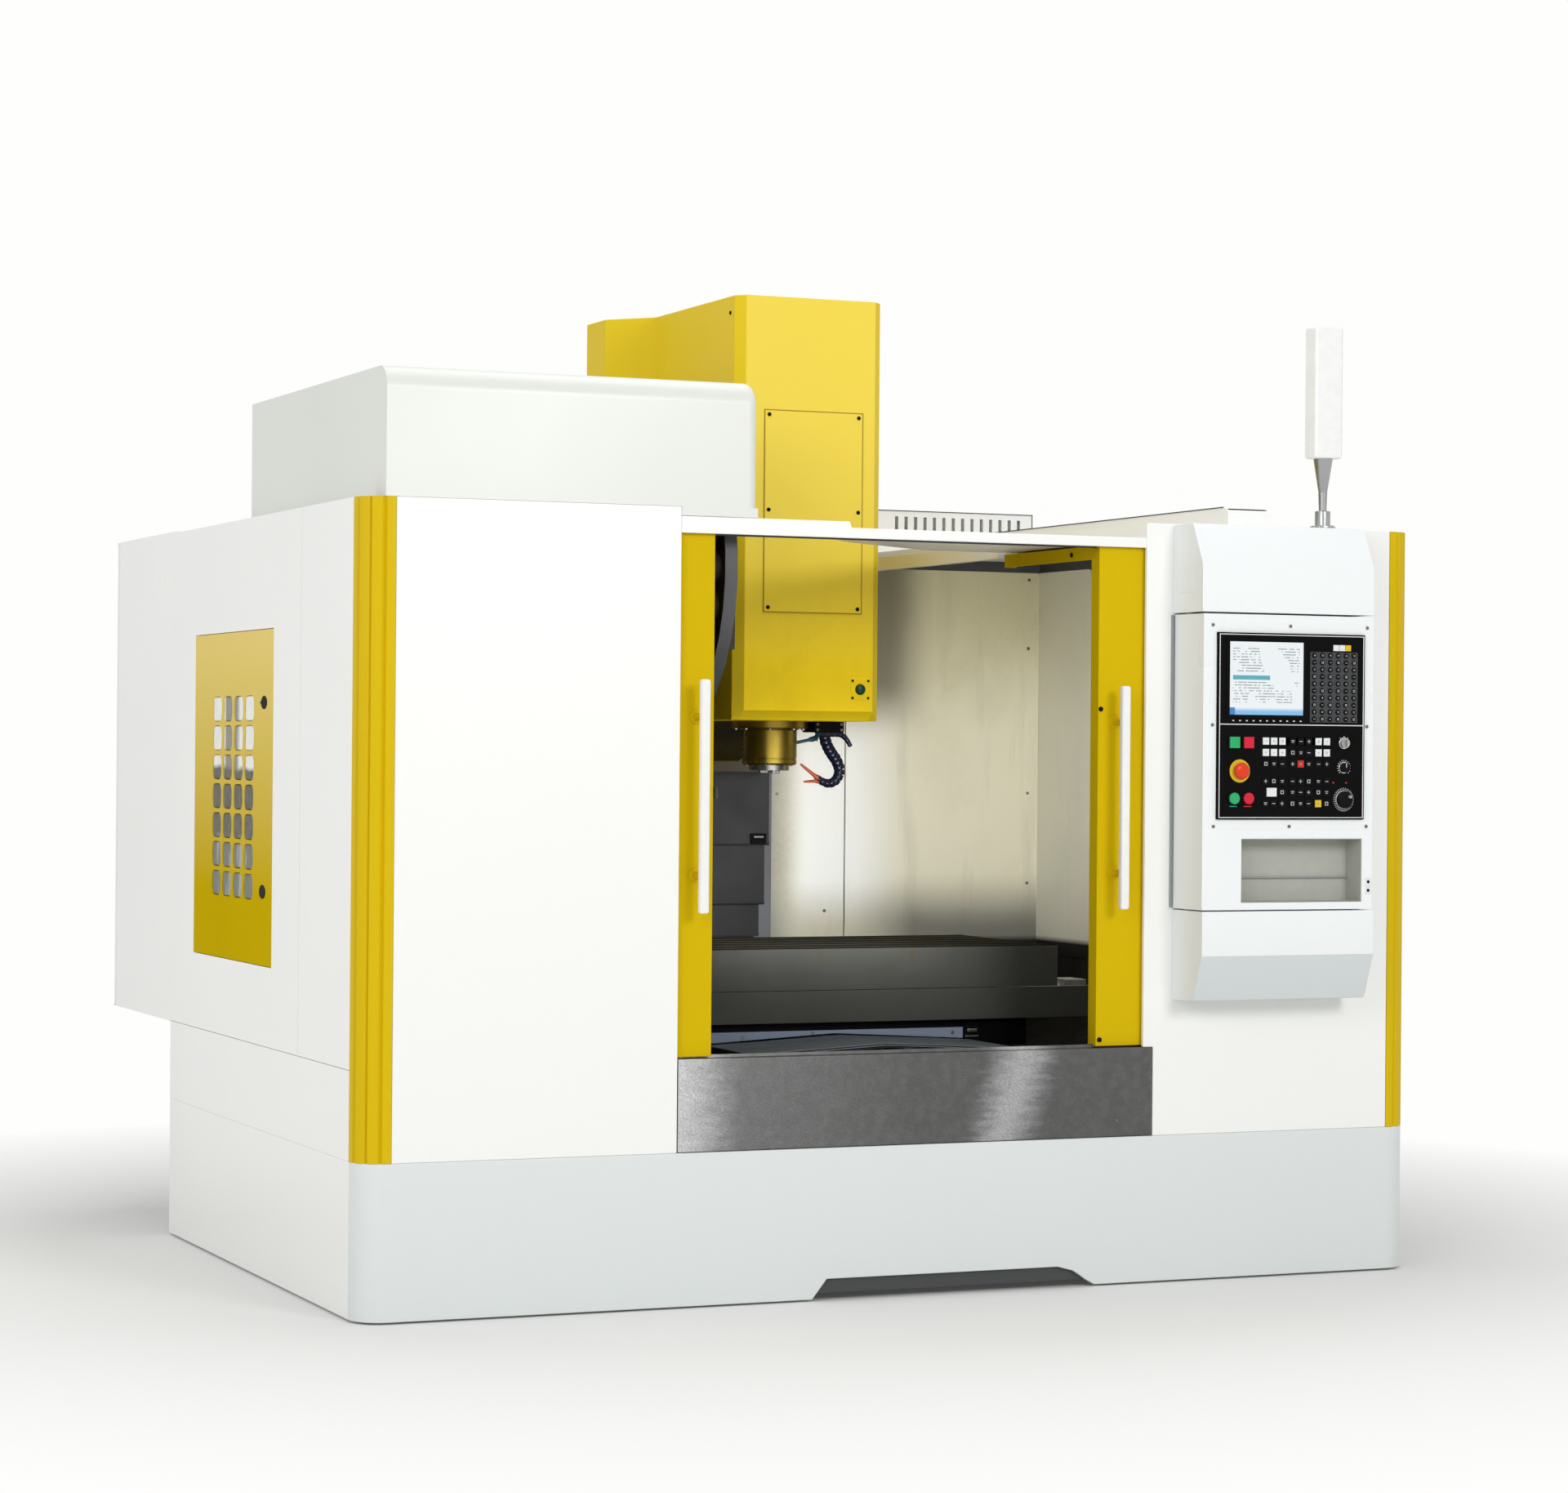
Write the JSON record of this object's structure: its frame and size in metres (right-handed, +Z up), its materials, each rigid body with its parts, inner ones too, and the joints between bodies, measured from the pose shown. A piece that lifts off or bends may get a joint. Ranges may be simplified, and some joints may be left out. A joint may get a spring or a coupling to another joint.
{
  "type": "cnc machining center",
  "caption": "Vertical machining center with a closed white and yellow sheet-metal enclosure, sliding doors, cross table, travelling head, tool magazine and control station.",
  "frame": {"origin": "middle of the footprint, on the floor", "axes": "+X to the right as the operator faces the doors, +Y from the doors to the rear, +Z up"},
  "size_m": [3.4, 3.148, 3.012],
  "materials": {
    "bed_iron": "painted grey casting",
    "foot_steel": "zinc-plated steel",
    "base_paint": "cool pale grey powder coat",
    "frame_paint": "dark grey paint",
    "white_paint": "warm white powder coat",
    "yellow_fluted": "glossy golden yellow paint",
    "stainless": "cross-brushed stainless steel",
    "inner_paint": "cream enamel with coolant stains",
    "tray_paint": "dark oily steel",
    "machined_steel": "ground and oiled steel",
    "cover_steel": "oiled sheet steel",
    "head_iron": "yellow painted casting",
    "yellow_paint": "golden yellow powder coat",
    "nose_steel": "ground steel reflecting the yellow casing",
    "spindle_steel": "hardened ground steel",
    "hose_plastic": "black modular hose with orange nozzles",
    "green_plastic": "green button",
    "red_plastic": "red button",
    "saddle_iron": "grey painted casting",
    "table_iron": "ground iron with oil stains",
    "door_glass": "laminated safety glass",
    "station_paint": "cool white powder coat",
    "black_plastic": "black film keyboard and plate",
    "knob_plastic": "black knobs",
    "chrome_pole": "polished chrome",
    "lamp_plastic": "opal white lens",
    "magazine_paint": "mid grey paint",
    "changer_steel": "ground steel",
    "latch_plastic": "black latch",
    "cabinet_paint": "warm white powder coat",
    "tank_paint": "grey paint"
  },
  "bodies": {
    "machine_frame": {"bed_casting": "bed_iron", "levelling_feet": "foot_steel", "base_skirt": "base_paint", "enclosure_frame": "frame_paint", "left_front_panel": "white_paint", "right_front_panel": "white_paint", "corner_posts": "yellow_fluted", "left_side_panels": "white_paint", "rear_side_panels": "white_paint", "roof_panels": "white_paint", "header_beam": "white_paint", "steel_apron": "stainless", "left_roof_cover": "white_paint", "inner_walls": "inner_paint", "chip_tray": "tray_paint", "column_casting": "bed_iron", "axis_drives": "machined_steel", "fixed_way_covers": "cover_steel", "control_housings": "station_paint", "signal_pole": "chrome_pole", "signal_lamp": "lamp_plastic", "changer_housing": "magazine_paint", "electrical_cabinet": "cabinet_paint", "coolant_tank": "tank_paint"},
    "left_door_body": {"left_door": "yellow_paint", "left_window": "door_glass"},
    "right_door_body": {"right_door": "yellow_paint", "right_window": "door_glass"},
    "saddle_body": {"saddle": "saddle_iron", "x_axis_drive": "machined_steel", "y_cover_saddle": "cover_steel"},
    "y_cover_middle_body": {"y_cover_middle": "cover_steel"},
    "table_body": {"table": "table_iron"},
    "head_body": {"head_casting": "head_iron", "head_cover": "yellow_paint", "spindle_housing": "nose_steel", "coolant_hoses": "hose_plastic", "z_cover_head": "cover_steel"},
    "z_cover_middle_body": {"z_cover_middle": "cover_steel"},
    "z_cover_lower_body": {"z_cover_lower": "cover_steel"},
    "spindle_body": {"spindle": "spindle_steel"},
    "release_button_body": {"release_button": "green_plastic"},
    "control_box_body": {"control_box": "station_paint", "screen_unit": "black_plastic", "operator_panel": "black_plastic"},
    "emergency_stop_body": {"emergency_stop": "red_plastic"},
    "power_on_body": {"power_on_button": "green_plastic"},
    "power_off_body": {"power_off_button": "red_plastic"},
    "start_body": {"start_button": "green_plastic"},
    "hold_body": {"hold_button": "red_plastic"},
    "key_switch_body": {"key_switch": "knob_plastic"},
    "override_body": {"override_knob": "knob_plastic"},
    "mode_dial_body": {"mode_dial": "knob_plastic"},
    "magazine_body": {"magazine_disc": "magazine_paint"},
    "changer_shaft_body": {"changer_shaft": "changer_steel"},
    "changer_arm_body": {"changer_arm": "changer_steel"},
    "side_door_body": {"side_door": "yellow_paint"},
    "upper_latch_body": {"upper_latch": "latch_plastic"},
    "lower_latch_body": {"lower_latch": "latch_plastic"},
    "cabinet_door_body": {"cabinet_door": "cabinet_paint"}
  },
  "joints": [
    {"name": "left_door_slide", "type": "slide", "parent": "machine_frame", "child": "left_door_body", "axis": [1, 0, 0], "range_m": [0, 0.644]},
    {"name": "right_door_slide", "type": "slide", "parent": "machine_frame", "child": "right_door_body", "axis": [1, 0, 0], "range_m": [-0.599, 0]},
    {"name": "y_axis", "type": "slide", "parent": "machine_frame", "child": "saddle_body", "axis": [0, 1, 0], "range_m": [-0.13, 0.57]},
    {"name": "y_cover_slide", "type": "slide", "parent": "machine_frame", "child": "y_cover_middle_body", "axis": [0, 1, 0], "range_m": [-0.065, 0.285]},
    {"name": "x_axis", "type": "slide", "parent": "saddle_body", "child": "table_body", "axis": [1, 0, 0], "range_m": [-0.65, 0.65]},
    {"name": "z_axis", "type": "slide", "parent": "machine_frame", "child": "head_body", "axis": [0, 0, 1], "range_m": [-0.39, 0.31]},
    {"name": "z_cover_middle_slide", "type": "slide", "parent": "machine_frame", "child": "z_cover_middle_body", "axis": [0, 0, 1], "range_m": [-0.2, 0.16]},
    {"name": "z_cover_lower_slide", "type": "slide", "parent": "machine_frame", "child": "z_cover_lower_body", "axis": [0, 0, 1], "range_m": [-0.1, 0.08]},
    {"name": "spindle_turn", "type": "hinge", "parent": "head_body", "child": "spindle_body", "pos_m": [0, -0.232, 1.6], "axis": [0, 0, 1], "continuous": true},
    {"name": "release_press", "type": "slide", "parent": "head_body", "child": "release_button_body", "axis": [0, 1, 0], "range_m": [0, 0.004], "stiffness_N_per_m": 1500},
    {"name": "control_box_swing", "type": "hinge", "parent": "machine_frame", "child": "control_box_body", "pos_m": [0.868, -1.42, 1.6], "axis": [0, 0, 1], "range_deg": [-90, 0]},
    {"name": "emergency_stop_press", "type": "slide", "parent": "control_box_body", "child": "emergency_stop_body", "axis": [0, 1, 0], "range_m": [0, 0.005], "stiffness_N_per_m": 4000},
    {"name": "power_on_press", "type": "slide", "parent": "control_box_body", "child": "power_on_body", "axis": [0, 1, 0], "range_m": [0, 0.003], "stiffness_N_per_m": 1500},
    {"name": "power_off_press", "type": "slide", "parent": "control_box_body", "child": "power_off_body", "axis": [0, 1, 0], "range_m": [0, 0.003], "stiffness_N_per_m": 1500},
    {"name": "start_press", "type": "slide", "parent": "control_box_body", "child": "start_body", "axis": [0, 1, 0], "range_m": [0, 0.003], "stiffness_N_per_m": 1500},
    {"name": "hold_press", "type": "slide", "parent": "control_box_body", "child": "hold_body", "axis": [0, 1, 0], "range_m": [0, 0.003], "stiffness_N_per_m": 1500},
    {"name": "key_switch_turn", "type": "hinge", "parent": "control_box_body", "child": "key_switch_body", "pos_m": [1.327, -1.55, 1.632], "axis": [0, -1, 0], "range_deg": [0, 90]},
    {"name": "override_turn", "type": "hinge", "parent": "control_box_body", "child": "override_body", "pos_m": [1.327, -1.55, 1.558], "axis": [0, -1, 0], "range_deg": [-140, 140]},
    {"name": "mode_dial_turn", "type": "hinge", "parent": "control_box_body", "child": "mode_dial_body", "pos_m": [1.327, -1.55, 1.461], "axis": [0, -1, 0], "range_deg": [-150, 150]},
    {"name": "magazine_turn", "type": "hinge", "parent": "machine_frame", "child": "magazine_body", "pos_m": [-0.56, -0.757, 2.13], "axis": [1, 0, 0], "continuous": true},
    {"name": "changer_lift", "type": "slide", "parent": "machine_frame", "child": "changer_shaft_body", "axis": [0, 0, 1], "range_m": [-0.12, 0]},
    {"name": "changer_swing", "type": "hinge", "parent": "changer_shaft_body", "child": "changer_arm_body", "pos_m": [-0.38, -0.3295, 1.47], "axis": [0, 0, -1], "range_deg": [0, 246.4]},
    {"name": "side_door_swing", "type": "hinge", "parent": "machine_frame", "child": "side_door_body", "pos_m": [-1.6925, 0.45, 1.44], "axis": [0, 0, 1], "range_deg": [-100, 0]},
    {"name": "upper_latch_turn", "type": "hinge", "parent": "side_door_body", "child": "upper_latch_body", "pos_m": [-1.69, -0.36, 1.727], "axis": [1, 0, 0], "range_deg": [0, 90]},
    {"name": "lower_latch_turn", "type": "hinge", "parent": "side_door_body", "child": "lower_latch_body", "pos_m": [-1.69, -0.36, 1.159], "axis": [1, 0, 0], "range_deg": [0, 90]},
    {"name": "cabinet_door_swing", "type": "hinge", "parent": "machine_frame", "child": "cabinet_door_body", "pos_m": [-1.688, 1.548, 1.5], "axis": [0, 0, 1], "range_deg": [0, 110]}
  ],
  "couplings": [
    {"joint": "y_cover_slide", "follows": "y_axis", "ratio": 0.5},
    {"joint": "z_cover_middle_slide", "follows": "z_axis", "ratio": 0.5128},
    {"joint": "z_cover_lower_slide", "follows": "z_axis", "ratio": 0.2564}
  ]
}
